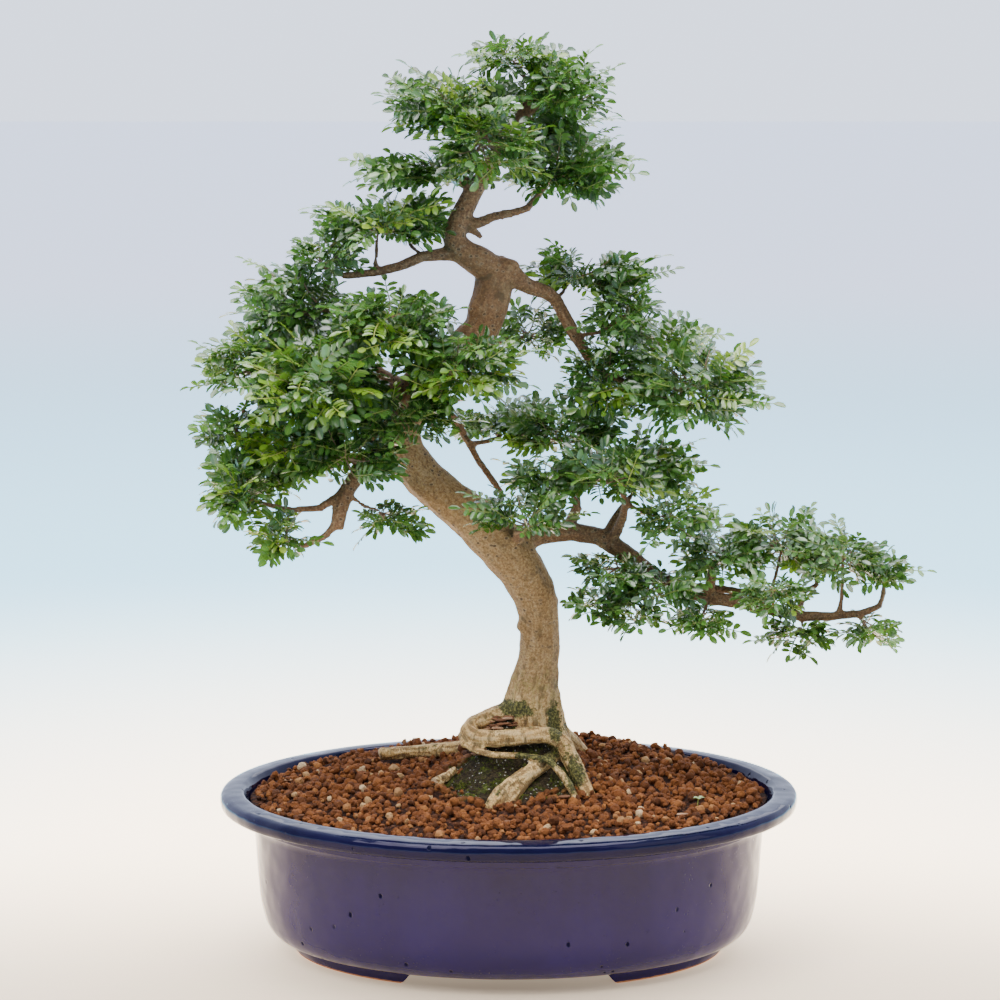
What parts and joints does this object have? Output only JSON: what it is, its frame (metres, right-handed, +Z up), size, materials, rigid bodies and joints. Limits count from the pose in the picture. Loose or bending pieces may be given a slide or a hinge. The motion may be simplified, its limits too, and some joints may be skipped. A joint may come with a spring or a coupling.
{
  "type": "potted bonsai tree",
  "caption": "Chinese pepper bonsai with a curved trunk, exposed looping roots and leafy pads, in an oval glazed pot on feet.",
  "frame": {"origin": "bottom centre of the whole bonsai's box, at the height of the pot's feet", "axes": "+Z up along the tree; +X along the pot's long side, towards the long low branch; -Y is the front of the tree"},
  "size_m": [0.4754, 0.3, 0.6319],
  "materials": {
    "glaze": "gloss",
    "soil": "matte",
    "bark": "matte",
    "leaf_dark": "satin",
    "leaf": "satin",
    "screen": "matte"
  },
  "bodies": {
    "root": {"drain_screen_left": "screen", "drain_screen_right": "screen", "leaves_back_high": "leaf_dark", "leaves_back_low": "leaf", "leaves_centre_back": "leaf", "leaves_centre_front": "leaf", "leaves_centre_high": "leaf_dark", "leaves_centre_low": "leaf", "leaves_centre_mid": "leaf_dark", "leaves_crown_back": "leaf", "leaves_crown_front": "leaf_dark", "leaves_crown_left": "leaf_dark", "leaves_crown_left_low": "leaf", "leaves_crown_right": "leaf", "leaves_crown_right_low": "leaf_dark", "leaves_crown_top": "leaf_dark", "leaves_far_back": "leaf", "leaves_far_drop": "leaf_dark", "leaves_far_front": "leaf", "leaves_far_inner": "leaf_dark", "leaves_far_mid": "leaf", "leaves_far_tip": "leaf_dark", "leaves_far_under": "leaf", "leaves_left_back": "leaf", "leaves_left_centre": "leaf_dark", "leaves_left_front": "leaf", "leaves_left_inner": "leaf", "leaves_left_low_side": "leaf_dark", "leaves_left_over_trunk": "leaf_dark", "leaves_left_tip": "leaf_dark", "leaves_left_top": "leaf_dark", "leaves_low_left": "leaf_dark", "leaves_low_left_back": "leaf_dark", "leaves_low_left_hang": "leaf_dark", "leaves_low_left_inner": "leaf", "leaves_low_left_tip": "leaf", "leaves_low_left_under": "leaf", "leaves_lower_drop": "leaf", "leaves_lower_hang": "leaf", "leaves_lower_inner": "leaf_dark", "leaves_lower_side": "leaf_dark", "leaves_lower_stub": "leaf", "leaves_lower_under": "leaf_dark", "leaves_lower_wisp": "leaf_dark", "leaves_right_back": "leaf", "leaves_right_high": "leaf", "leaves_right_inner": "leaf", "leaves_right_mid": "leaf_dark", "leaves_right_tip": "leaf_dark", "leaves_shoulder": "leaf", "leaves_shoulder_back": "leaf", "leaves_shoulder_tip": "leaf_dark", "pot": "glaze", "soil": "soil", "trunk": "bark"}
  },
  "joints": []
}
